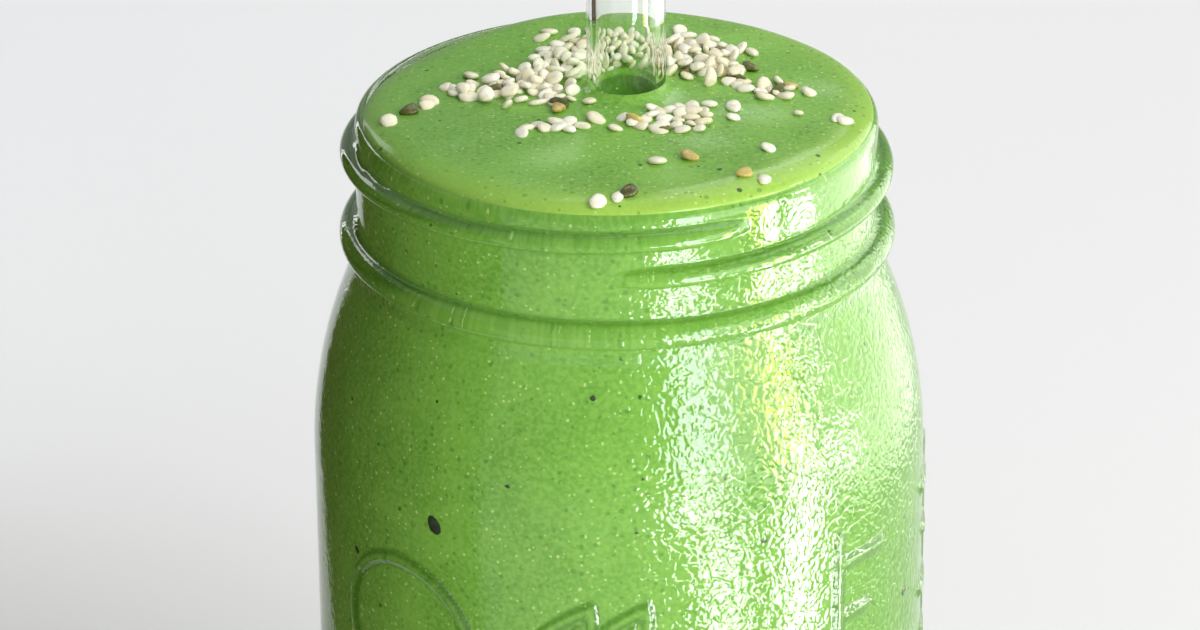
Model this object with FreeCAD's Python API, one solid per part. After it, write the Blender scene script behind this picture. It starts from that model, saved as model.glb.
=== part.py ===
import FreeCAD, Part
import math
import os

# A wide-mouth preserving jar of clear glass, brim-full of a green smoothie, with a glass straw standing in it.
# Millimetres, +Z up. The origin is on the jar's axis, in the plane that its foot stands on.
# Azimuths are degrees round the jar's axis, counted from the front (-Y) towards the right (+X).

# ---- Jar body ------------------------------------------------------------------------------
JAR_HEIGHT = 172.0
BODY_RADIUS = 48.5
BODY_WALL = 3.0
HEEL_RADIUS = 9.0
INSIDE_HEEL_RADIUS = 7.0
SHOULDER_RADIUS = 70.0
BASE_THICKNESS = 4.6
FOOT_INSIDE_RADIUS = 33.0   # the foot ring runs from here out to the heel
PUSH_UP = 2.6               # how far the underside is pushed up inside the foot ring
FLOOR_RISE = 2.0            # how far the inside floor is crowned over the push-up

# ---- Neck, lip, bead and screw thread --------------------------------------------------------
NECK_RADIUS = 40.6
NECK_WALL = 2.6
NECK_FILLET = 2.0           # hollow between the shoulder and the neck
BEAD_PROUD = 2.6
BEAD_HEIGHT = 4.4
BEAD_DROP = 19.3            # from the lip down to the bead's middle
NECK_BELOW_BEAD = 2.4       # from the bead down to the corner between neck and shoulder
THREAD_RADIUS = 43.0        # half of the 86 mm finish
THREAD_WIDTH = 3.3
THREAD_PITCH = 6.1
THREAD_DROP = 4.15          # from the lip down to the thread's upper turn at the front
THREAD_START = 28.0         # azimuth of the thread's upper end
THREAD_TURN = 388.0         # degrees of thread, falling towards the left: a right-hand screw
THREAD_FADE = 16.0          # degrees over which each end of the thread sinks into the neck
THREAD_TIP_SHARE = 0.45     # of the thread's width that is left at its tips
THREAD_STEP = 8.0           # degrees between the thread's sections

# ---- Raised marks on the body ------------------------------------------------------------------
MARK_PROUD = 0.55
MARK_ROOT = 0.4             # how deep the root of a mark, the thread or the bead goes into the wall
LINE_WIDTH = 1.4
MARKS_TOP_GAP = 4.0         # from the shoulder's lower edge down to the fruit and the upright leaves
FRUIT_RADIUS = 13.5
FRUIT_AZIMUTH = -44.0
LEAF_LENGTH = 30.0
LEAF_WIDTH = 10.0
RIB_SHARE = 0.65            # of a leaf's length that its midrib runs
LEAF_LEAN = 32.0            # degrees to the right, of the two upright leaves
LEAF_AZIMUTHS = (-13.5, -3.5)
FAN_LEAVES = 5
FAN_STEP = 32.0             # degrees between the leaves of the fan
FAN_REACH = 20.0            # from the fan's foot to the middle of each leaf
FAN_AZIMUTH = -18.0
FAN_DROP = 64.0             # from the marks' top down to the fan's foot
SCALE_AZIMUTHS = (44.0, 92.0)
SCALE_TOP_GAP = 1.0         # from the shoulder's lower edge down to the top of the scales
SCALE_BOTTOM_GAP = 14.0     # from the heel's upper edge up to the bottom of the scales
TICK_COUNT = 10
LONG_TICK = 9.0
SHORT_TICK = 5.0

# ---- Straw -----------------------------------------------------------------------------------
STRAW_LENGTH = 230.0
STRAW_OUTSIDE = 12.4
STRAW_WALL = 1.45
STRAW_FOOT_X = 1.6
STRAW_FOOT_Y = 2.0
STRAW_LEAN = 1.0            # degrees, away from the front
STRAW_FLOOR_GAP = 0.3       # the drink fills this gap under the straw

# ---- Smoothie ----------------------------------------------------------------------------------
DOME_RISE = 2.6             # above the lip, held up by its own thickness
DOME_EDGE = 6.0             # width of the dome's rounded edge, inside the lip


def point(r, z):
    """A point of a half section: r out from the axis, z up."""
    return FreeCAD.Vector(r, 0, z)


def line(a, b):
    return Part.LineSegment(a, b).toShape()


def arc(a, middle, b):
    return Part.Arc(a, middle, b).toShape()


def arc_about(centre, radius, start_degrees, end_degrees):
    """An arc in the half section, by its centre, radius and two angles from the outward direction."""
    angles = (start_degrees, (start_degrees + end_degrees) / 2, end_degrees)
    places = [
        centre + FreeCAD.Vector(radius * math.cos(math.radians(a)), 0, radius * math.sin(math.radians(a)))
        for a in angles
    ]
    return arc(*places)


def revolved(edges):
    """A solid turned from a closed half section about the jar's axis."""
    face = Part.Face(Part.Wire(edges))
    return face.revolve(FreeCAD.Vector(0, 0, 0), FreeCAD.Vector(0, 0, 1), 360)


def crowned_arc(edge, top_z):
    """An arc from edge to the axis, where it is level at top_z."""
    rise = top_z - edge.z
    radius = (edge.x ** 2 + rise ** 2) / (2 * rise)
    half_turn = math.asin(edge.x / radius) / 2
    middle = point(radius * math.sin(half_turn), top_z - radius * (1 - math.cos(half_turn)))
    return arc(edge, middle, point(0, top_z))


# Heights and radii that follow from the driving dimensions.
bead_z = JAR_HEIGHT - BEAD_DROP
shoulder_top_z = bead_z - BEAD_HEIGHT / 2 - NECK_BELOW_BEAD
shoulder_arc_x = BODY_RADIUS - SHOULDER_RADIUS
shoulder_top_angle = math.degrees(math.acos((NECK_RADIUS - shoulder_arc_x) / SHOULDER_RADIUS))
shoulder_z = shoulder_top_z - SHOULDER_RADIUS * math.sin(math.radians(shoulder_top_angle))
shoulder_centre = point(shoulder_arc_x, shoulder_z)
bore_radius = NECK_RADIUS - NECK_WALL
lip_radius = NECK_WALL / 2
lip_z = JAR_HEIGHT - lip_radius
inside_radius = BODY_RADIUS - BODY_WALL
inside_shoulder_radius = SHOULDER_RADIUS - BODY_WALL
inside_top_angle = math.degrees(math.acos((bore_radius - shoulder_centre.x) / inside_shoulder_radius))
inside_top_z = shoulder_z + inside_shoulder_radius * math.sin(math.radians(inside_top_angle))
marks_top_z = shoulder_z - MARKS_TOP_GAP
straw_axis = FreeCAD.Vector(0, math.sin(math.radians(STRAW_LEAN)), math.cos(math.radians(STRAW_LEAN)))
straw_foot_lift = STRAW_OUTSIDE / 2 * math.sin(math.radians(STRAW_LEAN))
floor_top_z = BASE_THICKNESS + FLOOR_RISE
straw_foot = FreeCAD.Vector(STRAW_FOOT_X, STRAW_FOOT_Y, floor_top_z + STRAW_FLOOR_GAP + straw_foot_lift)


def inside_edges():
    """The jar's inside from the middle of the floor to the lip's crest, which the smoothie shares."""
    floor_edge = point(inside_radius - INSIDE_HEEL_RADIUS, BASE_THICKNESS)
    heel_centre = point(inside_radius - INSIDE_HEEL_RADIUS, BASE_THICKNESS + INSIDE_HEEL_RADIUS)
    heel_top = point(inside_radius, BASE_THICKNESS + INSIDE_HEEL_RADIUS)
    shoulder_start = point(inside_radius, shoulder_z)
    neck_start = point(bore_radius, inside_top_z)
    neck_end = point(bore_radius, lip_z)
    return [
        crowned_arc(floor_edge, floor_top_z),
        arc_about(heel_centre, INSIDE_HEEL_RADIUS, -90, 0),
        line(heel_top, shoulder_start),
        arc_about(shoulder_centre, inside_shoulder_radius, 0, inside_top_angle),
        line(neck_start, neck_end),
        arc_about(point(bore_radius + lip_radius, lip_z), lip_radius, 180, 90),
    ]


def outside_edges():
    """The jar's outside from the lip's crest down to the middle of the underside."""
    heel_centre = point(BODY_RADIUS - HEEL_RADIUS, HEEL_RADIUS)
    foot_edge = point(FOOT_INSIDE_RADIUS, 0)
    return [
        arc_about(point(bore_radius + lip_radius, lip_z), lip_radius, 90, 0),
        line(point(NECK_RADIUS, lip_z), point(NECK_RADIUS, shoulder_top_z)),
        arc_about(shoulder_centre, SHOULDER_RADIUS, shoulder_top_angle, 0),
        line(point(BODY_RADIUS, shoulder_z), point(BODY_RADIUS, HEEL_RADIUS)),
        arc_about(heel_centre, HEEL_RADIUS, 0, -90),
        line(point(BODY_RADIUS - HEEL_RADIUS, 0), foot_edge),
        crowned_arc(foot_edge, PUSH_UP),
    ]


def neck_hollow(glass):
    """The same glass with the sharp corner between shoulder and neck rounded out."""
    def at_corner(edge):
        middle = edge.BoundBox.Center
        ring = abs(edge.BoundBox.XLength / 2 - NECK_RADIUS) < 0.01
        return ring and edge.BoundBox.ZLength < 0.01 and abs(middle.z - shoulder_top_z) < 0.01

    return glass.makeFillet(NECK_FILLET, [edge for edge in glass.Edges if at_corner(edge)])


def bead():
    """The round ring under the thread that a cap's edge comes down to."""
    root = NECK_RADIUS - MARK_ROOT
    low = point(root, bead_z - BEAD_HEIGHT / 2)
    high = point(root, bead_z + BEAD_HEIGHT / 2)
    return revolved([arc(low, point(NECK_RADIUS + BEAD_PROUD, bead_z), high), line(high, low)])


def thread_section(turned):
    """The thread's rounded section after so many degrees of turn from its upper end."""
    nearest_end = min(turned, THREAD_TURN - turned)
    fullness = math.sin(math.pi / 2 * min(1.0, nearest_end / THREAD_FADE))
    proud = (THREAD_RADIUS - NECK_RADIUS) * fullness
    half_width = THREAD_WIDTH / 2 * (THREAD_TIP_SHARE + (1 - THREAD_TIP_SHARE) * fullness)
    front_drop = THREAD_DROP - THREAD_PITCH * THREAD_START / 360
    z = JAR_HEIGHT - front_drop - THREAD_PITCH * turned / 360
    root = NECK_RADIUS - MARK_ROOT
    low = point(root, z - half_width)
    high = point(root, z + half_width)
    wire = Part.Wire([arc(low, point(NECK_RADIUS + proud, z), high), line(high, low)])
    wire.rotate(FreeCAD.Vector(0, 0, 0), FreeCAD.Vector(0, 0, 1), THREAD_START - turned - 90)
    return wire


def thread():
    """The screw thread, lofted through sections that follow its helix."""
    count = math.ceil(THREAD_TURN / THREAD_STEP)
    sections = [thread_section(THREAD_TURN * i / count) for i in range(count + 1)]
    return Part.makeLoft(sections, True, False)


def facing(shape, azimuth):
    """A shape drawn on the front, turned round the jar to its azimuth."""
    return shape.rotated(FreeCAD.Vector(0, 0, 0), FreeCAD.Vector(0, 0, 1), azimuth)


def stamped(face, azimuth):
    """A flat face in the XZ plane pushed out through the jar's front and turned to its azimuth."""
    reach = face.extrude(FreeCAD.Vector(0, -2 * BODY_RADIUS, 0))
    return facing(reach, azimuth)


def strip(width, height, z):
    """A flat upright strip in the XZ plane with its middle at height z."""
    left = FreeCAD.Vector(-width / 2, 0, z - height / 2)
    right = FreeCAD.Vector(width / 2, 0, z - height / 2)
    return line(left, right).extrude(FreeCAD.Vector(0, 0, height))


def leaf_outline(length, width):
    """A pointed oval wire of two arcs in the XZ plane, upright on the origin."""
    tip = FreeCAD.Vector(0, 0, length / 2)
    base = FreeCAD.Vector(0, 0, -length / 2)
    right = Part.Arc(base, FreeCAD.Vector(width / 2, 0, 0), tip).toShape()
    left = Part.Arc(tip, FreeCAD.Vector(-width / 2, 0, 0), base).toShape()
    return Part.Wire([right, left])


def leaf(lean, z):
    """A leaf's raised outline and midrib as one flat face."""
    outer = Part.Face(leaf_outline(LEAF_LENGTH, LEAF_WIDTH))
    slimmer = LEAF_WIDTH - 2 * LINE_WIDTH
    inner = Part.Face(leaf_outline(LEAF_LENGTH * slimmer / LEAF_WIDTH, slimmer))
    rib = strip(LINE_WIDTH / 2, LEAF_LENGTH * RIB_SHARE, 0)
    shape = outer.cut(inner).fuse(rib)
    shape.rotate(FreeCAD.Vector(0, 0, 0), FreeCAD.Vector(0, 1, 0), lean)
    shape.translate(FreeCAD.Vector(0, 0, z))
    return shape


def fruit(z):
    """A round fruit's raised outline as a flat face."""
    centre = FreeCAD.Vector(0, 0, z)
    forward = FreeCAD.Vector(0, -1, 0)
    outer = Part.Face(Part.Wire(Part.makeCircle(FRUIT_RADIUS, centre, forward)))
    inner = Part.Face(Part.Wire(Part.makeCircle(FRUIT_RADIUS - LINE_WIDTH, centre, forward)))
    return outer.cut(inner)


def fan():
    """Azimuth, height of the middle and lean of each leaf of a fan that spreads from its foot."""
    for i in range(FAN_LEAVES):
        lean = FAN_STEP * (i - (FAN_LEAVES - 1) / 2)
        aside = FAN_REACH * math.sin(math.radians(lean))
        up = FAN_REACH * math.cos(math.radians(lean))
        yield FAN_AZIMUTH + math.degrees(aside / BODY_RADIUS), marks_top_z - FAN_DROP + up, lean


def scale_marks(azimuth, side):
    """A measuring scale: an upright line, with long and short ticks to its right (side 1) or left (-1)."""
    top_z = shoulder_z - SCALE_TOP_GAP
    length = top_z - HEEL_RADIUS - SCALE_BOTTOM_GAP
    marks = [stamped(strip(LINE_WIDTH, length, top_z - length / 2), azimuth)]
    for i in range(TICK_COUNT):
        tick = SHORT_TICK if i % 2 else LONG_TICK
        turn = math.degrees((LINE_WIDTH + tick / 2) / BODY_RADIUS)
        z = top_z - length * (i + 0.5) / TICK_COUNT
        marks.append(stamped(strip(tick, LINE_WIDTH, z), azimuth + side * turn))
    return marks


def raised_marks():
    """Every mark on the side, as thin solids that follow the glass and are rooted in it."""
    left_scale, right_scale = SCALE_AZIMUTHS
    marks = scale_marks(left_scale, 1) + scale_marks(right_scale, -1)
    marks.append(stamped(fruit(marks_top_z - FRUIT_RADIUS), FRUIT_AZIMUTH))
    upright_z = marks_top_z - LEAF_LENGTH / 2 * math.cos(math.radians(LEAF_LEAN))
    leaves = [(azimuth, upright_z, LEAF_LEAN) for azimuth in LEAF_AZIMUTHS] + list(fan())
    for azimuth, z, lean in leaves:
        for face in leaf(lean, z).Faces:
            marks.append(stamped(face, azimuth))
    base = FreeCAD.Vector(0, 0, HEEL_RADIUS)
    height = shoulder_z - HEEL_RADIUS
    skin = Part.makeCylinder(BODY_RADIUS + MARK_PROUD, height, base)
    skin = skin.cut(Part.makeCylinder(BODY_RADIUS - MARK_ROOT, height, base))
    return [mark.common(skin) for mark in marks]


def jar():
    """The glass: one revolved wall with the bead, the thread and the raised marks fused on."""
    axis_line = line(point(0, PUSH_UP), point(0, floor_top_z))
    glass = neck_hollow(revolved(inside_edges() + outside_edges() + [axis_line]))
    return glass.multiFuse([bead(), thread()] + raised_marks())


def straw_rod(diameter):
    """A solid rod along the straw, from its foot to its mouth."""
    return Part.makeCylinder(diameter / 2, STRAW_LENGTH, straw_foot, straw_axis)


def straw():
    return straw_rod(STRAW_OUTSIDE).cut(straw_rod(STRAW_OUTSIDE - 2 * STRAW_WALL))


def dome_edge():
    """The drink's top: it rises steeply from the lip's crest and lies nearly level over the middle."""
    crest = point(bore_radius + lip_radius, JAR_HEIGHT)
    top_z = JAR_HEIGHT + DOME_RISE
    curve = Part.BezierCurve()
    curve.setPoles([crest, point(crest.x - DOME_EDGE, top_z), point(crest.x / 2, top_z), point(0, top_z)])
    return curve.toShape()


def smoothie():
    """All the drink, from the jar's inside face to the dome, cut round the straw's wall."""
    axis_line = line(point(0, JAR_HEIGHT + DOME_RISE), point(0, floor_top_z))
    return revolved(inside_edges() + [dome_edge(), axis_line]).cut(straw())


nodes = {"jar": jar, "smoothie": smoothie, "straw": straw}

os.makedirs("parts", exist_ok=True)
for name, build in nodes.items():
    shape = build()
    shape.exportStep(f"parts/{name}.step")
    print(name, len(shape.Solids), "solid", round(shape.Volume / 1000, 2), "cm3", shape.isValid())
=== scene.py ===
import math

import bpy
import numpy as np
from mathutils import Matrix, Vector


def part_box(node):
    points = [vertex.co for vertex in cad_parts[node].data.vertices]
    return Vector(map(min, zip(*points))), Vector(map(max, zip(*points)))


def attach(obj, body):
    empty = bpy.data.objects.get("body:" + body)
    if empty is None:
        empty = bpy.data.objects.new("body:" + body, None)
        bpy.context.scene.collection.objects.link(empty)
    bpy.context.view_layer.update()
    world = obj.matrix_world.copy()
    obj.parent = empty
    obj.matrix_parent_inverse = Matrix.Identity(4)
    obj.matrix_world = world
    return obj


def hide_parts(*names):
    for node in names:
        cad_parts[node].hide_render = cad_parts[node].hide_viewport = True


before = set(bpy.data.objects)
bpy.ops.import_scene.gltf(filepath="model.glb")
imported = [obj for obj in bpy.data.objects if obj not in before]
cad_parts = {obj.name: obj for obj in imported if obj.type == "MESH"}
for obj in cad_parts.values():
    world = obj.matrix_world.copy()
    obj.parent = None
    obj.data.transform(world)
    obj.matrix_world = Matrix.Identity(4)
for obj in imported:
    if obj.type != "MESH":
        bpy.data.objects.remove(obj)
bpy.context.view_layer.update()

# A wide-mouth preserving jar of clear glass, brim-full of green smoothie, with a glass straw and scattered
# seeds. Metres, +Z up. Azimuths go round the jar's axis from the front (-Y) towards the right (+X), in
# radians.

MM = 0.001
TAU = 2 * math.pi
CHANCE = np.random.default_rng(20)

_, jar_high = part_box("jar")
straw_low, straw_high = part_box("straw")

# ---- Jar -----------------------------------------------------------------------------------------
HEIGHT = jar_high.z
BODY_RADIUS = 48.5 * MM
BODY_WALL = 3.0 * MM
HEEL_RADIUS = 9.0 * MM
INSIDE_HEEL_RADIUS = 7.0 * MM
SHOULDER_RADIUS = 70.0 * MM
BASE_THICKNESS = 4.6 * MM
FOOT_INSIDE_RADIUS = 33.0 * MM
PUSH_UP = 2.6 * MM
FLOOR_RISE = 2.0 * MM
NECK_RADIUS = 40.6 * MM
NECK_WALL = 2.6 * MM
SHOULDER_BLEND = 0.9 * MM      # how softly the shoulder runs into the neck
INSIDE_BLEND = 0.4 * MM        # how softly the inside runs from the shoulder into the neck
BLEND_RISE = 20.0 * MM         # height over the shoulder's foot at which both blends are full
BEAD_PROUD = 2.6 * MM
BEAD_HEIGHT = 4.5 * MM
BEAD_DROP = 19.3 * MM
RIDGE_FULLNESS = 0.5           # power of a round section: lower is fuller, 0.5 is an ellipse
NECK_BELOW_BEAD = 2.35 * MM
THREAD_PROUD = 2.4 * MM
THREAD_WIDTH = 3.3 * MM
THREAD_PITCH = 6.1 * MM
THREAD_DROP = 4.15 * MM        # from the lip down to the upper turn at the front
THREAD_START = math.radians(28)
THREAD_TURN = math.radians(388)
THREAD_FADE = math.radians(12)
THREAD_TIP_SHARE = 0.45

bead_z = HEIGHT - BEAD_DROP
shoulder_top_z = bead_z - BEAD_HEIGHT / 2 - NECK_BELOW_BEAD
shoulder_arc_x = BODY_RADIUS - SHOULDER_RADIUS
shoulder_z = shoulder_top_z - math.sqrt(SHOULDER_RADIUS ** 2 - (NECK_RADIUS - shoulder_arc_x) ** 2)
inside_radius = BODY_RADIUS - BODY_WALL
bore_radius = NECK_RADIUS - NECK_WALL
lip_radius = NECK_WALL / 2
lip_centre = (bore_radius + lip_radius, HEIGHT - lip_radius)
floor_top_z = BASE_THICKNESS + FLOOR_RISE

# ---- Raised marks ----------------------------------------------------------------------------------
MARK_PROUD = 0.55 * MM
MARK_STEEP = 0.45              # slope at which the painted shade on a mark's edge is darkest
RING_STEEP = 3.2               # the same for the bead and the thread
LINE_WIDTH = 2.0 * MM          # at the ridge's foot; its crest is narrower
RIB_WIDTH = 1.3 * MM
MARKS_TOP_GAP = 4.0 * MM
FRUIT_RADIUS = 12.8 * MM       # to the middle of the ridge
FRUIT_AZIMUTH = math.radians(-44)
LEAF_LENGTH = 26.0 * MM
LEAF_WIDTH = 8.6 * MM
RIB_SHARE = 0.7                # of the leaf's length
RIB_HEIGHT = 0.8               # of the outline's height
LEAF_LEAN = math.radians(32)
LEAF_AZIMUTHS = (math.radians(-13.5), math.radians(-3.5))
LEAF_MIDDLE_DROP = 12.7 * MM
FAN_LEAVES = 5
FAN_STEP = math.radians(32)
FAN_REACH = 20.0 * MM
FAN_AZIMUTH = math.radians(-18)
FAN_DROP = 64.0 * MM
SCALE_AZIMUTHS = (math.radians(44), math.radians(92))
SCALE_TOP_GAP = 1.0 * MM
SCALE_BOTTOM_GAP = 14.0 * MM
TICK_COUNT = 10
LONG_TICK = 9.0 * MM
SHORT_TICK = 5.0 * MM
TICK_START = 0.7 * LINE_WIDTH  # from the middle of the upright line
marks_top_z = shoulder_z - MARKS_TOP_GAP

# ---- Straw -----------------------------------------------------------------------------------------
STRAW_WALL = 1.45 * MM
STRAW_LEAN = math.radians(1)
straw_radius = (straw_high.x - straw_low.x) / 2
straw_bore = straw_radius - STRAW_WALL
straw_reach = Vector((0, straw_radius * math.cos(STRAW_LEAN), straw_radius * math.sin(STRAW_LEAN)))
straw_x = (straw_low.x + straw_high.x) / 2
straw_foot = Vector((straw_x, straw_low.y, straw_low.z)) + straw_reach
straw_tip = Vector((straw_x, straw_high.y, straw_high.z)) - straw_reach

# ---- Drink -----------------------------------------------------------------------------------------
INTO_GLASS = 0.15 * MM         # the drink reaches this far into the walls that it wets
DOME_RISE = 1.7 * MM           # its top over the lip
DOME_EDGE = 5.5 * MM           # width of the dome's rounded edge
DOME_BEND = 2.4                # powers that shape that edge
DOME_FULLNESS = 0.62
LIP_COVER = math.radians(66)   # where the drink ends on the lip's round: 90 is the crest, 180 the bore
SLACK_AZIMUTH = math.radians(-128)   # there the drink stands lower and ends inside the lip
SLACK_WIDTH = math.radians(34)
SLACK_COVER = math.radians(78)
SLACK_DROP = 0.9 * MM
MENISCUS_RISE = 1.1 * MM
MENISCUS_WIDTH = 1.0 * MM
SHADE_DROP = 0.8 * MM          # the wall behind a ridge's edge is seen this much lower
SHADE_WIDTH = 0.42 * MM
BEAD_SHADES = (1.0, 0.6)       # strengths of the dark lines under its lower and its upper edge
THREAD_SHADES = (0.9, 0.5)
BOWL_RISE = 0.5 * MM           # of the drink's edge inside the straw
BOWL_DEPTH = 3.6 * MM
BOWL_POWER = 2.6               # of the bowl's round: higher is flatter in the middle
PAINTED_RIM_LIGHT_WIDTH = 4.2 * MM        # of the painted light that brightens the drink at the rim
PAINTED_RIM_LIGHT_AZIMUTH = math.radians(30)
PAINTED_RIM_LIGHT_LEVEL = 0.6             # mean strength of the painted rim light, and how far it swings about that round the rim
PAINTED_RIM_LIGHT_SWING = 0.4
TOP_COAT = 0.7                 # wet shine of the open top and of the bowl
BOWL_COAT = 0.25
# Swells and finer ripples left by pouring: height in mm, radians per mm along x and y, and phase.
POURED_WAVES = [
    (0.16, 0.11, 0.05, 0.4),
    (0.12, -0.07, 0.17, 2.1),
    (0.05, 0.31, -0.22, 1.2),
    (0.035, 0.18, 0.44, 5.0),
]

# ---- Rows and columns of the meshes ------------------------------------------------------------------
JAR_COLUMNS = {"base": 96, "shoulder": 160, "neck": 256, "inside": 96}
JAR_ROWS = {"side": 176, "shoulder": 36, "neck": 120, "inside": 40}
STRAW_COLUMNS = 72
STRAW_ROWS = 40
STRAW_END_ROWS = 9
DRINK_COLUMNS = 288
DRINK_ROWS = {"side": 40, "neck": 84, "lip": 10, "top": 110, "down": 6, "up": 7, "bowl": 22}


# ==== Meshes ========================================================================================
def mesh_piece(name, points, quads, triangles):
    """A smooth mesh object from whole arrays of points, four-sided faces and three-sided faces."""
    mesh = bpy.data.meshes.new(name)
    corners = np.concatenate([quads.ravel(), triangles.ravel()]).astype(np.int32)
    quad_starts = 4 * np.arange(len(quads))
    triangle_starts = 4 * len(quads) + 3 * np.arange(len(triangles))
    starts = np.concatenate([quad_starts, triangle_starts]).astype(np.int32)
    mesh.vertices.add(len(points))
    mesh.vertices.foreach_set("co", points.astype(np.float32).ravel())
    mesh.loops.add(len(corners))
    mesh.loops.foreach_set("vertex_index", corners)
    mesh.polygons.add(len(starts))
    mesh.polygons.foreach_set("loop_start", starts)
    mesh.polygons.foreach_set("use_smooth", np.ones(len(starts), bool))
    mesh.update(calc_edges=True)
    mesh.validate()
    piece = bpy.data.objects.new(name, mesh)
    bpy.context.scene.collection.objects.link(piece)
    return piece


def band(azimuths, radius, z):
    """Rows of rings about the jar's axis: x = r sin(azimuth), y = -r cos(azimuth), one row per height."""
    radius, z, turn = np.broadcast_arrays(radius, z, azimuths)
    return azimuths, np.stack([radius * np.sin(turn), -radius * np.cos(turn), z], axis=-1)


def zipper(low, low_azimuths, high, high_azimuths):
    """Triangles between two rings with different columns: each ring's edges meet the other ring's nearest
    point."""
    low_next = np.append(low_azimuths[1:], low_azimuths[0] + TAU)
    high_next = np.append(high_azimuths[1:], high_azimuths[0] + TAU)
    opposite_low = np.searchsorted(high_next, low_next, "left") % len(high)
    opposite_high = np.searchsorted(low_next, high_next, "right") % len(low)
    from_low = np.stack([low, np.roll(low, -1), high[opposite_low]], axis=-1)
    from_high = np.stack([np.roll(high, -1), high, low[opposite_high]], axis=-1)
    return [from_low, from_high]


def turned_skin(name, first_pole, bands, last_pole):
    """A closed skin from bands of rings, ordered from the underside's middle out, up and back in.
    Quads fill a band, a zipper joins two bands, and a fan of triangles closes each pole."""
    points = [np.array([first_pole])]
    quads = []
    triangles = []
    start = 1
    below = None
    for azimuths, places in bands:
        rows, columns = places.shape[:2]
        index = start + np.arange(rows * columns).reshape(rows, columns)
        right = np.roll(index, -1, axis=1)
        quads.append(np.stack([index[:-1], right[:-1], right[1:], index[1:]], axis=-1).reshape(-1, 4))
        if below is None:
            triangles.append(np.stack([np.zeros_like(index[0]), right[0], index[0]], axis=-1))
        else:
            triangles.extend(zipper(*below, index[0], azimuths))
        below = (index[-1], azimuths)
        points.append(places.reshape(-1, 3))
        start += rows * columns
    triangles.append(np.stack([index[-1], right[-1], np.full_like(index[-1], start)], axis=-1))
    points.append(np.array([last_pole]))
    return mesh_piece(name, np.concatenate(points), np.concatenate(quads), np.concatenate(triangles))


def arc(centre_r, centre_z, radius, start, end, steps):
    """Radii and heights, as two columns, along an arc in the half section; angles in degrees from outward."""
    turn = np.radians(np.linspace(start, end, steps + 1))[:, None]
    return centre_r + radius * np.cos(turn), centre_z + radius * np.sin(turn)


def crowned(edge_r, edge_z, top_z, steps):
    """Radii and heights, as two columns, of a shallow crown from just off the axis out to its edge."""
    r = np.linspace(edge_r / steps, edge_r, steps)[:, None]
    return r, top_z + (edge_z - top_z) * (r / edge_r) ** 2


def soft_floor(value, floor, softness):
    """The larger of value and floor, with a smooth passage: floor + (d + sqrt(d^2 + 4 s^2)) / 2."""
    over = value - floor
    return floor + (over + np.sqrt(over ** 2 + 4 * softness ** 2)) / 2


def columns(count):
    """Azimuths evenly spaced round the circle."""
    return np.arange(count) * TAU / count


def vertex_values(bands, known):
    """One value for each vertex of a turned skin: what is known of its bands and last pole, or else 0."""
    stretches = [np.broadcast_to(known.get(name, 0.0), points.shape[:2]).ravel()
                 for name, (_, points) in bands.items()]
    return np.concatenate([[0.0], *stretches, [known.get("last_pole", 0.0)]])


def set_attribute(piece, name, values):
    """A number on each vertex, which the materials read by its name."""
    layer = piece.data.attributes.new(name, "FLOAT", "POINT")
    layer.data.foreach_set("value", values.astype(np.float32))


# ==== Jar ===========================================================================================
def glass_radius(z):
    """The plain outside at height z: straight side, one shoulder arc, and the neck that it runs into."""
    rise = np.clip(z - shoulder_z, 0, None)
    shoulder = shoulder_arc_x + np.sqrt(SHOULDER_RADIUS ** 2 - rise ** 2)
    return soft_floor(shoulder, NECK_RADIUS, SHOULDER_BLEND * np.clip(rise / BLEND_RISE, 0, 1))


def inside_glass_radius(z):
    """The inside at height z: the same shoulder arc less the wall, running into the straight bore."""
    rise = np.clip(z - shoulder_z, 0, None)
    shoulder = shoulder_arc_x + np.sqrt((SHOULDER_RADIUS - BODY_WALL) ** 2 - rise ** 2)
    return soft_floor(shoulder, bore_radius, INSIDE_BLEND * np.clip(rise / BLEND_RISE, 0, 1))


def bump(distance, half_width, fullness):
    """A rounded ridge's height share: (1 - (d / w)^2) ^ fullness, and nothing past its foot."""
    return np.clip(1 - (distance / half_width) ** 2, 0, None) ** fullness


def bead(z):
    """The bead's height over the neck at height z."""
    return BEAD_PROUD * bump(z - bead_z, BEAD_HEIGHT / 2, RIDGE_FULLNESS)


def thread_passes(azimuths):
    """For each pass of the screw thread: how far from its tips a place is, 0 to 1, and its middle's z."""
    for extra in (0, TAU):
        turned = (THREAD_START - azimuths) % TAU + extra
        from_tip = np.clip(np.minimum(turned, THREAD_TURN - turned) / THREAD_FADE, 0, 1)
        middle = HEIGHT - THREAD_DROP + THREAD_PITCH * (THREAD_START - turned) / TAU
        yield from_tip, middle


def thread(azimuths, z):
    """The screw thread's height: a ridge round a helix that thins and sinks in at its ends."""
    height = 0
    for from_tip, middle in thread_passes(azimuths):
        fullness = np.sqrt(1 - (1 - from_tip) ** 2)
        half_width = THREAD_WIDTH / 2 * (THREAD_TIP_SHARE + (1 - THREAD_TIP_SHARE) * fullness)
        pass_height = THREAD_PROUD * fullness * bump(z - middle, half_width, RIDGE_FULLNESS)
        height = np.maximum(height, pass_height)
    return height


def across(azimuths, azimuth):
    """Distance round the side from an azimuth, the short way, positive to the right."""
    return ((azimuths - azimuth + math.pi) % TAU - math.pi) * BODY_RADIUS


def segment_distance(u, v, half_length):
    """Distance from an upright segment through the origin."""
    return np.hypot(u, np.clip(np.abs(v) - half_length, 0, None))


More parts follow.
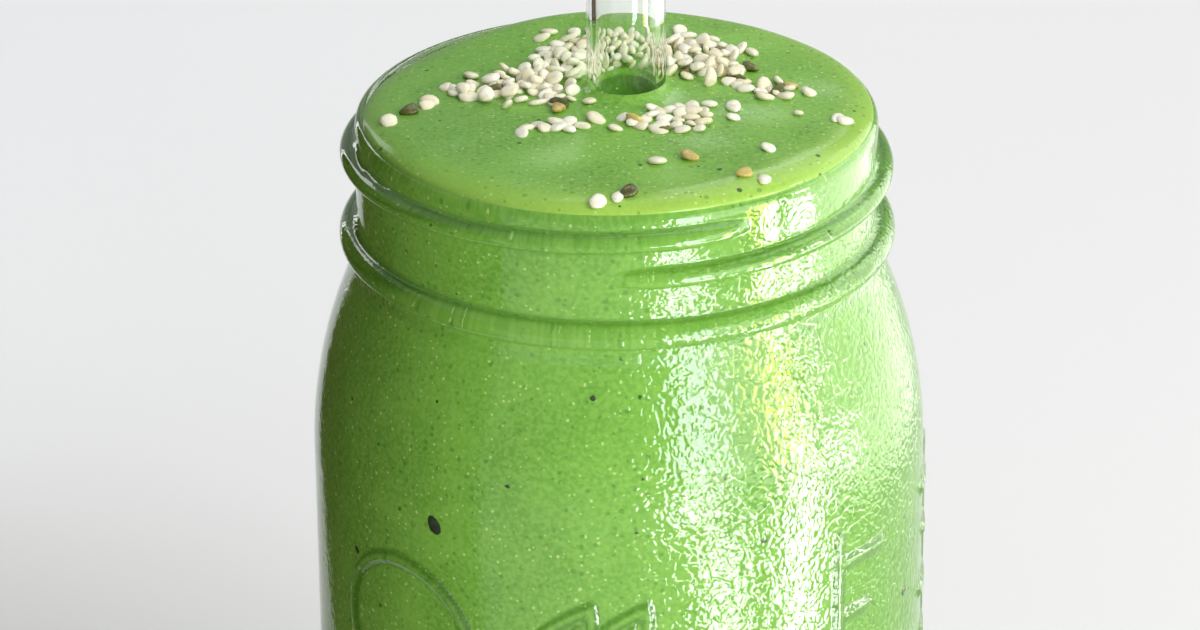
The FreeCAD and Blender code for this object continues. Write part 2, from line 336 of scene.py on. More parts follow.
def leaf_ridges(azimuths, z, azimuth, middle_z, lean):
    """A leaf's outline, two equal arcs that meet in its tips, and its midrib, turned by its lean."""
    u = across(azimuths, azimuth)
    v = z - middle_z
    aside = np.abs(u * math.cos(lean) - v * math.sin(lean))
    along = u * math.sin(lean) + v * math.cos(lean)
    a = LEAF_LENGTH / 2
    b = LEAF_WIDTH / 2
    arc_radius = (a ** 2 + b ** 2) / (2 * b)
    to_arc = np.abs(np.hypot(aside - b + arc_radius, along) - arc_radius)
    to_tip = np.hypot(aside, np.abs(along) - a)
    to_outline = np.where(np.abs(along) < a, to_arc, to_tip)
    to_rib = segment_distance(aside, along, a * RIB_SHARE)
    return np.maximum(ridge(to_outline, LINE_WIDTH), RIB_HEIGHT * ridge(to_rib, RIB_WIDTH))


def ridge(distance, width):
    """A moulded line's height share at a distance from its middle."""
    return bump(distance, width / 2, RIDGE_FULLNESS)


def fan_leaves():
    """Azimuth, height of the middle and lean of each leaf of a fan that spreads from its foot."""
    for i in range(FAN_LEAVES):
        lean = FAN_STEP * (i - (FAN_LEAVES - 1) / 2)
        azimuth = FAN_AZIMUTH + FAN_REACH * math.sin(lean) / BODY_RADIUS
        yield azimuth, marks_top_z - FAN_DROP + FAN_REACH * math.cos(lean), lean


def scale_ridges(azimuths, z, azimuth, side):
    """A measuring scale: an upright line, with long and short ticks to its right (1) or left (-1)."""
    top_z = shoulder_z - SCALE_TOP_GAP
    length = top_z - HEEL_RADIUS - SCALE_BOTTOM_GAP
    u = across(azimuths, azimuth)
    marks = ridge(segment_distance(u, z - top_z + length / 2, length / 2), LINE_WIDTH)
    for i in range(TICK_COUNT):
        tick = SHORT_TICK if i % 2 else LONG_TICK
        tick_z = top_z - length * (i + 0.5) / TICK_COUNT
        tick_u = side * (TICK_START + tick / 2)
        marks = np.maximum(marks, ridge(segment_distance(z - tick_z, u - tick_u, tick / 2), LINE_WIDTH))
    return marks


def raised_marks(azimuths, z):
    """Height of everything moulded on the side: a fruit, leaves, and two measuring scales."""
    left_scale, right_scale = SCALE_AZIMUTHS
    u = across(azimuths, FRUIT_AZIMUTH)
    v = z - marks_top_z + FRUIT_RADIUS
    marks = ridge(np.abs(np.hypot(u, v) - FRUIT_RADIUS), LINE_WIDTH)
    upright = [(azimuth, marks_top_z - LEAF_MIDDLE_DROP, LEAF_LEAN) for azimuth in LEAF_AZIMUTHS]
    for azimuth, middle_z, lean in upright + list(fan_leaves()):
        marks = np.maximum(marks, leaf_ridges(azimuths, z, azimuth, middle_z, lean))
    marks = np.maximum(marks, scale_ridges(azimuths, z, left_scale, 1))
    marks = np.maximum(marks, scale_ridges(azimuths, z, right_scale, -1))
    return MARK_PROUD * marks


def marked_columns():
    """Azimuths for the marked part of the side: close together where marks are, far apart elsewhere."""
    fine = 0.52
    coarse = 4.0
    stretches = [(0, 22, fine), (22, 42, coarse), (42, 59, fine), (59, 78, coarse),
                 (78, 94, fine), (94, 296, coarse), (296, 360, fine)]
    degrees = [np.linspace(a, b, round((b - a) / step), endpoint=False) for a, b, step in stretches]
    return np.radians(np.concatenate(degrees))


def steepness(height, azimuths, z, full_slope):
    """How steep the moulding is beside flat glass, from 0 to 1: the length of its slope over the slope that
    counts as full."""
    up = np.gradient(height, z[:, 0], axis=0)
    round_it = np.gradient(height, azimuths * BODY_RADIUS, axis=1)
    return np.clip(np.hypot(up, round_it) / full_slope, 0, 1)


def make_jar():
    """The glass: underside, heel, marked side, shoulder, threaded neck, lip, and the inside to the floor."""
    base = columns(JAR_COLUMNS["base"])
    side = marked_columns()
    shoulder = columns(JAR_COLUMNS["shoulder"])
    neck = columns(JAR_COLUMNS["neck"])
    inside = columns(JAR_COLUMNS["inside"])
    marks_low_z = HEEL_RADIUS + SCALE_BOTTOM_GAP - LINE_WIDTH
    side_z = np.linspace(marks_low_z, shoulder_z, JAR_ROWS["side"])[:, None]
    curve_z = np.linspace(shoulder_z + 0.5 * MM, shoulder_top_z - 1.5 * MM, JAR_ROWS["shoulder"])[:, None]
    neck_z = np.linspace(shoulder_top_z - 1.3 * MM, lip_centre[1] - 0.2 * MM, JAR_ROWS["neck"])[:, None]
    heel_z = BASE_THICKNESS + INSIDE_HEEL_RADIUS
    inside_z = np.linspace(lip_centre[1] - 1 * MM, heel_z, JAR_ROWS["inside"])[:, None]
    inside_heel = inside_radius - INSIDE_HEEL_RADIUS
    floor_r, floor_z = crowned(inside_heel, BASE_THICKNESS, floor_top_z, 8)
    marks = raised_marks(side, side_z)
    rings = bead(neck_z) + thread(neck, neck_z)
    bands = {
        "underside": band(base, *crowned(FOOT_INSIDE_RADIUS, 0, PUSH_UP, 8)),
        "heel": band(base, *arc(BODY_RADIUS - HEEL_RADIUS, HEEL_RADIUS, HEEL_RADIUS, -90, 0, 14)),
        "side": band(side, BODY_RADIUS + marks, side_z),
        "shoulder": band(shoulder, glass_radius(curve_z), curve_z),
        "neck": band(neck, glass_radius(neck_z) + rings, neck_z),
        "lip": band(inside, *arc(*lip_centre, lip_radius, 0, 180, 16)),
        "inside": band(inside, inside_glass_radius(inside_z), inside_z),
        "inside_heel": band(inside, *arc(inside_heel, heel_z, INSIDE_HEEL_RADIUS, 0, -90, 12)),
        "floor": band(inside, floor_r[-2::-1], floor_z[-2::-1]),
    }
    jar = turned_skin("jar_glass", (0, 0, PUSH_UP), bands.values(), (0, 0, floor_top_z))
    # Painted shade: how strongly the glass is tinted darker green on the steep edges of the moulding.
    edges = {"side": steepness(marks, side, side_z, MARK_STEEP),
             "neck": steepness(rings, neck, neck_z, RING_STEEP)}
    set_attribute(jar, "edge", vertex_values(bands, edges))
    return jar


# ==== Straw =========================================================================================
def straw_centre(z):
    """The straw's axis at height z; it leans only along y."""
    share = (z - straw_foot.z) / (straw_tip.z - straw_foot.z)
    return straw_foot.x, straw_foot.y + (straw_tip.y - straw_foot.y) * share


def make_straw():
    """A tube with fire-polished ends: a closed wall section carried round the leaning axis."""
    round_end = STRAW_WALL / 2
    wall_middle = straw_radius - round_end
    length = (straw_tip - straw_foot).length
    ends = np.linspace(0, math.pi, STRAW_END_ROWS)[1:-1]
    steps = np.linspace(round_end, length - round_end, STRAW_ROWS)
    radius = np.concatenate([
        np.full(STRAW_ROWS, straw_radius), wall_middle + round_end * np.cos(ends),
        np.full(STRAW_ROWS, straw_bore), wall_middle - round_end * np.cos(ends)])
    along = np.concatenate([
        steps, steps[-1] + round_end * np.sin(ends),
        steps[::-1], steps[0] - round_end * np.sin(ends)])
    turn = columns(STRAW_COLUMNS)
    axis = np.array((straw_tip - straw_foot).normalized())
    aside = np.array([1.0, 0.0, 0.0])
    forward = np.cross(axis, aside)
    around = np.cos(turn)[:, None] * aside + np.sin(turn)[:, None] * forward
    points = np.array(straw_foot) + along[:, None, None] * axis + radius[:, None, None] * around
    index = np.arange(len(radius) * len(turn)).reshape(len(radius), len(turn))
    right = np.roll(index, -1, axis=1)
    quads = np.stack([index, right, np.roll(right, -1, axis=0), np.roll(index, -1, axis=0)], axis=-1)
    return mesh_piece("straw_glass", points.reshape(-1, 3), quads.reshape(-1, 4), np.zeros((0, 3), int))


# ==== Drink =========================================================================================
def slackness(azimuths):
    """1 where the drink stands lowest against the lip, falling off smoothly on both sides."""
    away = (azimuths - SLACK_AZIMUTH + math.pi) % TAU - math.pi
    return np.exp(-(away / SLACK_WIDTH) ** 2)


def lip_contact(azimuths):
    """Radius, height and cover angle of the line on the lip's round where the drink ends. The angle wanders
    by two slow sine waves."""
    wander = 0.05 * np.sin(3 * azimuths + 1) + 0.03 * np.sin(7 * azimuths)
    cover = LIP_COVER + SLACK_COVER * slackness(azimuths) + wander
    return lip_centre[0] + lip_radius * np.cos(cover), lip_centre[1] + lip_radius * np.sin(cover), cover


def gentle_waves(x, y):
    """Slow swells and finer ripples: a few sine waves with unlike directions."""
    return sum(MM * size * np.sin(x / MM * fx + y / MM * fy + phase) for size, fx, fy, phase in POURED_WAVES)


def drink_height(x, y):
    """The drink's top: a flat dome that rounds down to the lip, with a meniscus climbing the straw."""
    azimuths = np.arctan2(x, -y)
    from_axis = np.hypot(x, y)
    edge_r, edge_z, _ = lip_contact(azimuths)
    to_edge = np.clip((edge_r - from_axis) / DOME_EDGE, 0, 1)
    fullness = (1 - (1 - to_edge) ** DOME_BEND) ** DOME_FULLNESS
    slack = SLACK_DROP * slackness(azimuths) * np.clip(from_axis / bore_radius, 0, 1) ** 2
    level = HEIGHT + DOME_RISE - slack
    dome = edge_z + (level + gentle_waves(x, y) - edge_z) * fullness
    axis_x, axis_y = straw_centre(dome)
    to_straw = np.clip(np.hypot(x - axis_x, y - axis_y) - straw_radius, 0, None)
    return dome + MENISCUS_RISE * np.exp(-to_straw / MENISCUS_WIDTH)


def edge_shades(z, middle, width, strengths):
    """Two soft dark lines, each a little below an edge of a ridge: strength * exp(-(d / w)^2)."""
    under_lower, under_upper = strengths
    to_lower = z - (middle - width / 2 - SHADE_DROP)
    to_upper = z - (middle + width / 2 - SHADE_DROP)
    lower = under_lower * np.exp(-(to_lower / SHADE_WIDTH) ** 2)
    return lower + under_upper * np.exp(-(to_upper / SHADE_WIDTH) ** 2)


def ridge_shade(azimuths, z):
    """Where the bead and each pass of the thread bend light away from the wall behind them, from 0 to 1."""
    shade = edge_shades(z, bead_z, BEAD_HEIGHT, BEAD_SHADES)
    for from_tip, middle in thread_passes(azimuths):
        shade = shade + from_tip * edge_shades(z, middle, THREAD_WIDTH, THREAD_SHADES)
    return np.clip(shade, 0, 1)


def straw_ring(azimuths, radius, z):
    """A ring about the straw's axis at height z."""
    axis_x, axis_y = straw_centre(z)
    return np.stack(np.broadcast_arrays(
        axis_x + radius * np.sin(azimuths), axis_y - radius * np.cos(azimuths), z), axis=-1)


def drink_wall(around, cover):
    """The bands that touch the jar, each a little inside the glass: floor, heel, wall and lip."""
    inside_heel = inside_radius - INSIDE_HEEL_RADIUS
    heel_z = BASE_THICKNESS + INSIDE_HEEL_RADIUS
    floor = crowned(inside_heel, BASE_THICKNESS - INTO_GLASS, floor_top_z - INTO_GLASS, 6)
    heel_r, heel_rise = arc(inside_heel, heel_z, INSIDE_HEEL_RADIUS + INTO_GLASS, -90, 0, 8)
    side_z = np.linspace(heel_z + MM, shoulder_top_z - 2 * MM, DRINK_ROWS["side"])[:, None]
    neck_z = np.linspace(shoulder_top_z - 1.7 * MM, lip_centre[1] - 0.3 * MM, DRINK_ROWS["neck"])[:, None]
    wall_z = np.concatenate([side_z, neck_z])
    bend = math.pi + (cover - math.pi) * np.linspace(0, 1, DRINK_ROWS["lip"])[:, None]
    lip_r = lip_centre[0] + (lip_radius - INTO_GLASS) * np.cos(bend)
    lip_z = lip_centre[1] + (lip_radius - INTO_GLASS) * np.sin(bend)
    return {
        "floor": band(around, *floor),
        "heel": band(around, heel_r[1:], heel_rise[1:]),
        "wall": band(around, inside_glass_radius(wall_z) + INTO_GLASS, wall_z),
        "lip": band(around, lip_r, lip_z),
    }


def drink_top(around, edge_r):
    """The open top: rings from the lip's edge into the straw's wall, closer together at both ends."""
    axis_x, axis_y = straw_centre(HEIGHT + DOME_RISE)
    hidden_radius = straw_radius - INTO_GLASS
    inward = np.linspace(0, 1, DRINK_ROWS["top"])[:, None]
    inward = 0.5 * inward + 0.5 * (3 * inward ** 2 - 2 * inward ** 3)
    x = edge_r * np.sin(around) * (1 - inward) + (axis_x + hidden_radius * np.sin(around)) * inward
    y = -edge_r * np.cos(around) * (1 - inward) + (axis_y - hidden_radius * np.cos(around)) * inward
    return around, np.stack([x, y, drink_height(x, y)], axis=-1)


def drink_in_straw(around, bowl_edge_z):
    """The bands at the straw: down inside its wall, up its bore, and a bowl, depth * (1 - (r / R)^power)."""
    bore = straw_bore + INTO_GLASS
    foot_z = straw_foot.z + INTO_GLASS
    down_z = np.linspace(HEIGHT + DOME_RISE - MM, foot_z, DRINK_ROWS["down"])[:, None]
    up_z = np.linspace(foot_z, bowl_edge_z, DRINK_ROWS["up"])[:, None]
    bowl_r = bore * np.linspace(0.97, 0.04, DRINK_ROWS["bowl"])[:, None]
    bowl_z = bowl_edge_z - BOWL_DEPTH * (1 - (bowl_r / bore) ** BOWL_POWER)
    return {
        "down": (around, straw_ring(around, straw_radius - INTO_GLASS, down_z)),
        "up": (around, straw_ring(around, bore, up_z)),
        "bowl": (around, straw_ring(around, bowl_r, bowl_z)),
    }


def drink_masks(around, edge_r, bands):
    """Where the drink looks different, from 0 to 1: wet shine on the open top, painted light at the rim,
    painted shade in the straw's bowl, and shade on the wall under the ridges."""
    _, top = bands["top"]
    _, wall = bands["wall"]
    to_rim = edge_r - np.hypot(top[..., 0], top[..., 1])
    lit_side = PAINTED_RIM_LIGHT_LEVEL + PAINTED_RIM_LIGHT_SWING * np.cos(around - PAINTED_RIM_LIGHT_AZIMUTH)
    return {
        "open_top": {"top": TOP_COAT, "bowl": BOWL_COAT, "last_pole": 1.0},
        "painted_rim_light": {"top": np.exp(-(to_rim / PAINTED_RIM_LIGHT_WIDTH) ** 2) * lit_side},
        # painted shade: the drink in the straw's bowl is coloured darker
        "bowl": {"bowl": 1.0, "last_pole": 1.0},
        "shade": {"wall": ridge_shade(around, wall[..., 2])},
    }


def make_drink():
    """The drink's closed skin: up the jar's inside, over the open top, and into the straw."""
    around = columns(DRINK_COLUMNS)
    edge_r, _, cover = lip_contact(around)
    bowl_edge_z = HEIGHT + DOME_RISE + BOWL_RISE
    bowl_foot_z = bowl_edge_z - BOWL_DEPTH
    bands = drink_wall(around, cover)
    bands["top"] = drink_top(around, edge_r)
    bands.update(drink_in_straw(around, bowl_edge_z))
    drink = turned_skin("smoothie_drink", (0, 0, floor_top_z - INTO_GLASS), bands.values(),
                        (*straw_centre(bowl_foot_z), bowl_foot_z))
    for mask, known in drink_masks(around, edge_r, bands).items():
        set_attribute(drink, mask, vertex_values(bands, known))
    return drink


# ==== Seeds =========================================================================================
# Heaps as (middle x, middle y, half length, half width, turn in degrees, count), in millimetres.
PILES = [(-13, 8, 8.5, 5.0, 30, 56), (14, 13, 9.0, 5.0, -40, 44), (0, 17, 7.5, 6.0, 0, 30)]
SPILLS = [
    (-20, 4, 7.0, 3.5, 15, 9),
    (-9, 18, 8.0, 3.5, 45, 16),
    (24, 3, 6.0, 2.5, -25, 9),
    (14, 21, 7.0, 3.5, -20, 14),
    (9, -8, 7.0, 3.4, 20, 28),
    (-12, -11, 3.4, 2.0, 0, 5),
    (-6, -10, 3.6, 2.4, 20, 5),
    (0, 25, 8.0, 3.5, 0, 14),
    (-7, 3, 4.0, 4.0, 0, 8),
]
# Places of single seeds and bits as (x, y), in millimetres.
LONE_SEEDS = [(-35, -8), (6, -24), (22, -31), (23, -20), (28, -6),
              (34, -8), (35, -9), (-3, -38), (0, -37), (-26, 6)]
HULL_PLACES = [(-32, -4), (1.5, -36), (-19, 4), (-9, -2), (19, 7), (11, 10),
               (21, 12), (7, -12), (-4, 20), (25, 2), (-12, 15), (16, 19)]
AMBER_PLACES = [(19, -30), (11, -23), (-9, -4), (3, -9), (-2, 22),
                (27, 4), (-11, 9), (9, 21), (-5, 23), (16, 9)]
HEAP_SPREAD = 0.52             # of the seeds, against half a heap's size
TRIES_PER_SEED = 40
CLOSEST_SEEDS = 1.6 * MM
STRAW_CLEARANCE = 1.6 * MM
SEED_REACH = 36.0 * MM         # from the jar's axis
PIP_ROWS = 5
PIP_COLUMNS = 12
# Azimuth in degrees, height and size in millimetres, of the larger flakes of leaf behind the glass.
WALL_FLECKS = [
    (-37.5, 119, 2.6), (-5.5, 142, 0.9), (3, 122, 0.8), (-22, 128, 0.7), (28, 118, 0.9),
    (-60, 108, 1.2), (70, 96, 1.6), (118, 124, 1.3), (150, 88, 2.1), (-150, 120, 1.0),
    (-118, 92, 1.8), (12, 76, 1.4), (-30, 60, 1.7), (48, 52, 1.2), (96, 48, 1.5),
    (-84, 40, 1.1), (172, 50, 1.4), (-168, 30, 1.2), (20, 36, 1.3), (-52, 26, 1.0),
]
FLECK_THICKNESS = 0.08 * MM
FLECK_LENGTH_SHARE = 0.62      # half length and half width of a flake over its size
FLECK_WIDTH_SHARE = 0.42


def flat(places):
    """Listed places, in millimetres, as trios of x, y and layer 0."""
    return [(x * MM, y * MM, 0) for x, y in places]


def scattered(heaps, taken, piled_share):
    """Seed places drawn at random in oval heaps, never closer in a layer than a limit; some lie on a second
    layer."""
    chosen = []
    axis_x, axis_y = straw_centre(HEIGHT)
    for middle_x, middle_y, half_length, half_width, turn, count in heaps:
        turn = math.radians(turn)
        wanted = len(chosen) + count
        for _ in range(count * TRIES_PER_SEED):
            if len(chosen) == wanted:
                break
            a, b = CHANCE.normal(0, HEAP_SPREAD, 2) * (half_length, half_width)
            x = MM * (middle_x + a * math.cos(turn) - b * math.sin(turn))
            y = MM * (middle_y + a * math.sin(turn) + b * math.cos(turn))
            layer = int(CHANCE.random() < piled_share)
            off_straw = math.hypot(x - axis_x, y - axis_y) > straw_radius + STRAW_CLEARANCE
            crowd = [place for place in taken + chosen if place[2] == layer]
            if off_straw and math.hypot(x, y) < SEED_REACH and not crowded(x, y, crowd):
                chosen.append((x, y, layer))
    return chosen


def crowded(x, y, crowd):
    """Whether a place is too close to any of a crowd."""
    return any(math.hypot(x - p, y - q) <= CLOSEST_SEEDS for p, q, _ in crowd)


def turning(yaw, pitch, roll):
    """Rotation matrices, one for each trio of angles: roll about x, then pitch about y, then yaw about z."""
    one = np.ones_like(yaw)
    zero = np.zeros_like(yaw)
    yaw_c, pitch_c, roll_c = (np.cos(angle) for angle in (yaw, pitch, roll))
    yaw_s, pitch_s, roll_s = (np.sin(angle) for angle in (yaw, pitch, roll))
    about_z = np.array([[yaw_c, -yaw_s, zero], [yaw_s, yaw_c, zero], [zero, zero, one]])
    about_y = np.array([[pitch_c, zero, pitch_s], [zero, one, zero], [-pitch_s, zero, pitch_c]])
    about_x = np.array([[one, zero, zero], [zero, roll_c, -roll_s], [zero, roll_s, roll_c]])
    about_z, about_y, about_x = (np.moveaxis(turn, 2, 0) for turn in (about_z, about_y, about_x))
    return about_z @ about_y @ about_x


def pip_shape(taper, dent):
    """A flattened egg as a tip, rings of u round it with v from tip to tip, and the other tip: one end is
    narrower, and a shallow dent lies in its side at u = 1.6."""
    v = np.linspace(0, math.pi, PIP_ROWS + 2)[1:-1, None]
    u = columns(PIP_COLUMNS)
    along = np.cos(v)
    narrow = 1 - taper * along
    rim = np.sin(v) * narrow * (1 - dent * np.exp(-((u - 1.6) / 0.5) ** 2) * np.exp(-(along / 0.5) ** 2))
    rings = np.stack(np.broadcast_arrays(along, rim * np.cos(u), np.sin(v) * np.sin(u)), axis=-1)
    return np.concatenate([[[1.0, 0, 0]], rings.reshape(-1, 3), [[-1.0, 0, 0]]])


def pip_mesh(name, points):
    """One mesh of many pips from their points, with faces between each pip's rings and fans at its tips, and
    a random tone for each pip."""
    count, per_pip = points.shape[:2]
    index = 1 + np.arange(PIP_ROWS * PIP_COLUMNS).reshape(PIP_ROWS, PIP_COLUMNS)
    right = np.roll(index, -1, axis=1)
    quads = np.stack([index[:-1], index[1:], right[1:], right[:-1]], axis=-1).reshape(-1, 4)
    first = np.stack([np.zeros_like(index[0]), index[0], right[0]], axis=-1)
    last = np.stack([index[-1], np.full_like(index[0], per_pip - 1), right[-1]], axis=-1)
    triangles = np.concatenate([first, last])
    offset = (np.arange(count) * per_pip)[:, None, None]
    piece = mesh_piece(name, points.reshape(-1, 3), (quads[None] + offset).reshape(-1, 4),
                       (triangles[None] + offset).reshape(-1, 3))
    set_attribute(piece, "tone", np.repeat(CHANCE.random(count), per_pip))
    return piece


def make_pips(name, places, sizes, taper, dent, uneven, sink, tilt, layer_height=0):
    """Many small pips as one mesh: each a flattened egg of its own size and turn, resting in the drink's top.
    The outline is waved by sines of twice and three times the angle round it, and its middle is dimpled."""
    places = np.array(places)
    count = len(places)
    unit = pip_shape(taper, dent)
    size = np.array(sizes) * MM / 2
    scale = size * CHANCE.uniform(0.8, 1.2, (count, 1)) * CHANCE.uniform(0.88, 1.12, (count, 3))
    yaw = CHANCE.uniform(0, TAU, count)
    pitch = CHANCE.normal(0, tilt, count)
    roll = CHANCE.normal(0, tilt, count)
    angle = np.arctan2(unit[:, 1], unit[:, 0])
    phase = CHANCE.uniform(0, TAU, (count, 2, 1))
    outline = 1 + uneven * (np.sin(2 * angle + phase[:, 0]) + 0.7 * np.sin(3 * angle + phase[:, 1]))
    dimple = 1 - uneven * 3 * np.exp(-(unit[:, 0] ** 2 + unit[:, 1] ** 2) / 0.16)
    uneven_unit = unit[None] * np.stack([outline, outline, np.broadcast_to(dimple, outline.shape)], axis=-1)
    shaped = np.einsum("nij,nkj->nki", turning(yaw, pitch, roll), uneven_unit * scale[:, None])
    x, y, layer = places.T
    height = drink_height(x, y) + layer * layer_height + scale[:, 2] * (1 - 2 * sink)
    centre = np.stack([x, y, height], axis=-1)
    return pip_mesh(name, shaped + centre[:, None])


def make_flecks():
    """Flakes of leaf against the inside of the glass: thin ovals bent round the wall, turned at random."""
    tilt = CHANCE.uniform(0, math.pi, len(WALL_FLECKS))[:, None]
    azimuth, height, size = (np.array(column)[:, None] for column in zip(*WALL_FLECKS))
    unit = pip_shape(0.1, 0.2)
    along = unit[:, 0] * size * MM * FLECK_LENGTH_SHARE
    aside = unit[:, 1] * size * MM * FLECK_WIDTH_SHARE
    u = along * np.cos(tilt) - aside * np.sin(tilt)
    z = height * MM + along * np.sin(tilt) + aside * np.cos(tilt)
    r = inside_glass_radius(z) + INTO_GLASS + FLECK_THICKNESS * unit[:, 2]
    turn = np.radians(azimuth) + u / r
    points = np.stack([r * np.sin(turn), -r * np.cos(turn), z], axis=-1)
    return pip_mesh("leaf_flecks", points)


# ==== Materials =====================================================================================
def srgb(red, green, blue):
    """A linear colour from display values between 0 and 255."""
    shares = [value / 255 for value in (red, green, blue)]
    return tuple(s / 12.92 if s <= 0.04045 else ((s + 0.055) / 1.055) ** 2.4 for s in shares) + (1.0,)


class Nodes:
    """Short ways to place and join nodes in one tree."""

    def __init__(self, tree):
        self.tree = tree

    def add(self, kind, links=None, values=None, **settings):
        """A node with its settings, then its input values, then links given as {input: output socket}."""
        node = self.tree.nodes.new(kind)
        for setting, value in settings.items():
            setattr(node, setting, value)
        for socket, value in (values or {}).items():
            node.inputs[socket].default_value = value
        for socket, source in (links or {}).items():
            self.tree.links.new(source, node.inputs[socket])
        return node

    def math(self, operation, a, b):
        """One arithmetic step on two inputs, each a number or a socket."""
        node = self.add("ShaderNodeMath", operation=operation)
        for socket, value in enumerate((a, b)):
            if isinstance(value, (int, float)):
                node.inputs[socket].default_value = value
            else:
                self.tree.links.new(value, node.inputs[socket])
        return node.outputs[0]

    def mix(self, share, a, b):
        """A colour between a and b, each a colour or a socket, by a share that is a socket."""
        node = self.add("ShaderNodeMix", data_type="RGBA")
        for socket, value in ((6, a), (7, b)):
            if isinstance(value, tuple):
                node.inputs[socket].default_value = value
            else:
                self.tree.links.new(value, node.inputs[socket])
        self.tree.links.new(share, node.inputs[0])
        return node.outputs[2]

    def span(self, value, low, high, start=0.0, end=1.0):
        """A value carried smoothly from the range low..high to start..end."""
        node = self.add("ShaderNodeMapRange", interpolation_type="SMOOTHSTEP", links={0: value},
                        values={1: low, 2: high, 3: start, 4: end})
        return node.outputs[0]

    def stain(self, body, mask, strength, colour):
        """A body colour that goes over to another where a mask shows, by no more than a strength."""
        return self.mix(self.math("MULTIPLY", mask, strength), body, colour)

    def place(self):
        """The point in the object's own coordinates."""
        return self.add("ShaderNodeTexCoord").outputs["Object"]

    def noise(self, scale, detail=2.0, distortion=0.0):
        """Smooth noise over the object's own coordinates."""
        values = {"Scale": scale, "Detail": detail, "Distortion": distortion}
        return self.add("ShaderNodeTexNoise", values=values, links={"Vector": self.place()}).outputs[0]

    def attribute(self, name):
        """A number that the mesh carries on its vertices."""
        return self.add("ShaderNodeAttribute", attribute_name=name).outputs["Fac"]


def new_group(name, inputs, outputs):
    """A shader node group with named float inputs, which each user sets, and outputs of named kinds."""
    tree = bpy.data.node_groups.new(name, "ShaderNodeTree")
    for socket in inputs:
        tree.interface.new_socket(socket, in_out="INPUT", socket_type="NodeSocketFloat")
    for socket, kind in outputs.items():
        tree.interface.new_socket(socket, in_out="OUTPUT", socket_type=kind)
    nodes = Nodes(tree)
    entry = nodes.add("NodeGroupInput")
    leave = nodes.add("NodeGroupOutput")
    return tree, nodes, entry, leave


def speckle_group():
    """Dots of unlike size strewn through a solid: near a cell's point, in the share of cells that draw a
    dot."""
    tree, nodes, entry, leave = new_group("speckle", ("Scale", "Size", "Share"), {"Mask": "NodeSocketFloat"})
    cells = nodes.add("ShaderNodeTexVoronoi",
                      links={"Vector": nodes.place(), "Scale": entry.outputs["Scale"]})
    split = nodes.add("ShaderNodeSeparateColor", links={0: cells.outputs["Color"]})
    reach = nodes.math("MULTIPLY", entry.outputs["Size"], nodes.math("ADD", split.outputs[1], 0.35))
    depth = nodes.math("DIVIDE", cells.outputs["Distance"], reach)
    dot = nodes.span(depth, 0.6, 1.0, 1.0, 0.0)
    drawn = nodes.math("LESS_THAN", split.outputs[0], entry.outputs["Share"])
    tree.links.new(nodes.math("MULTIPLY", dot, drawn), leave.inputs["Mask"])
    return tree


SKIN_CALM_NECK = 0.3           # share of the skin's height that is left at the lip
SKIN_CALM_LEFT = 0.22          # and on the left
SKIN_CALM_FROM = -24 * MM      # x up to which it is as calm as that, and from which it is at its full height
SKIN_CALM_TO = 10 * MM


def pressed_glass_group():
    """The uneven skin of pressed glass: broad waviness plus short curling ripples, as one height. It is
    calmer on the left and up the neck."""
    tree, nodes, entry, leave = new_group(
        "pressed_glass_skin", ("Ripple Scale", "Wave Scale", "Wave Share"), {"Height": "NodeSocketFloat"})
    place = nodes.place()
    ripple = nodes.add("ShaderNodeTexNoise", values={"Detail": 0.0, "Distortion": 0.8},
                       links={"Vector": place, "Scale": entry.outputs["Ripple Scale"]})
    wave = nodes.add("ShaderNodeTexNoise", values={"Detail": 1.0},
                     links={"Vector": place, "Scale": entry.outputs["Wave Scale"]})
    waves = nodes.math("MULTIPLY", wave.outputs[0], entry.outputs["Wave Share"])
    height = nodes.math("ADD", ripple.outputs[0], waves)
    split = nodes.add("ShaderNodeSeparateXYZ", links={0: place})
    calm_neck = nodes.span(split.outputs["Z"], bead_z, HEIGHT - 2 * MM, 1.0, SKIN_CALM_NECK)
    calm_side = nodes.span(split.outputs["X"], SKIN_CALM_FROM, SKIN_CALM_TO, SKIN_CALM_LEFT, 1.0)
    calm = nodes.math("MULTIPLY", calm_neck, calm_side)
    tree.links.new(nodes.math("MULTIPLY", height, calm), leave.inputs["Height"])
    return tree


def new_material(name):
    """A material with an empty node tree."""
    material = bpy.data.materials.new(name)
    material.use_nodes = True
    material.node_tree.nodes.clear()
    return material, Nodes(material.node_tree)


def finish_material(nodes, shader):
    """Joins a shader to the material's surface."""
    nodes.add("ShaderNodeOutputMaterial", links={"Surface": shader})


def glass_material(name, skin, skin_values, depth, roughness):
    """Clear glass with a pressed skin, and painted shade, a darker green, where the moulding is steep. It
    lets light through to what it holds instead of shadowing it."""
    material, nodes = new_material(name)
    surface = nodes.add("ShaderNodeGroup", node_tree=skin, values=skin_values)
    bump_node = nodes.add("ShaderNodeBump", values={"Strength": 1.0, "Distance": depth},
                          links={"Height": surface.outputs["Height"]})
    # Painted shade: a darker green on the steep edges of the moulding.
    tint = nodes.stain(srgb(252, 255, 251), nodes.attribute("edge"), 0.85, srgb(88, 126, 60))
    glass = nodes.add("ShaderNodeBsdfPrincipled",
                      values={"Roughness": roughness, "IOR": 1.5, "Transmission Weight": 1.0},
                      links={"Normal": bump_node.outputs["Normal"], "Base Color": tint})
    clear = nodes.add("ShaderNodeBsdfTransparent", values={"Color": srgb(248, 253, 247)})
    path = nodes.add("ShaderNodeLightPath")
    lit = nodes.math("MAXIMUM", path.outputs["Is Shadow Ray"], path.outputs["Is Diffuse Ray"])
    mixed = nodes.add("ShaderNodeMixShader", links={0: lit, 1: glass.outputs[0], 2: clear.outputs[0]})
    finish_material(nodes, mixed.outputs[0])
    return material


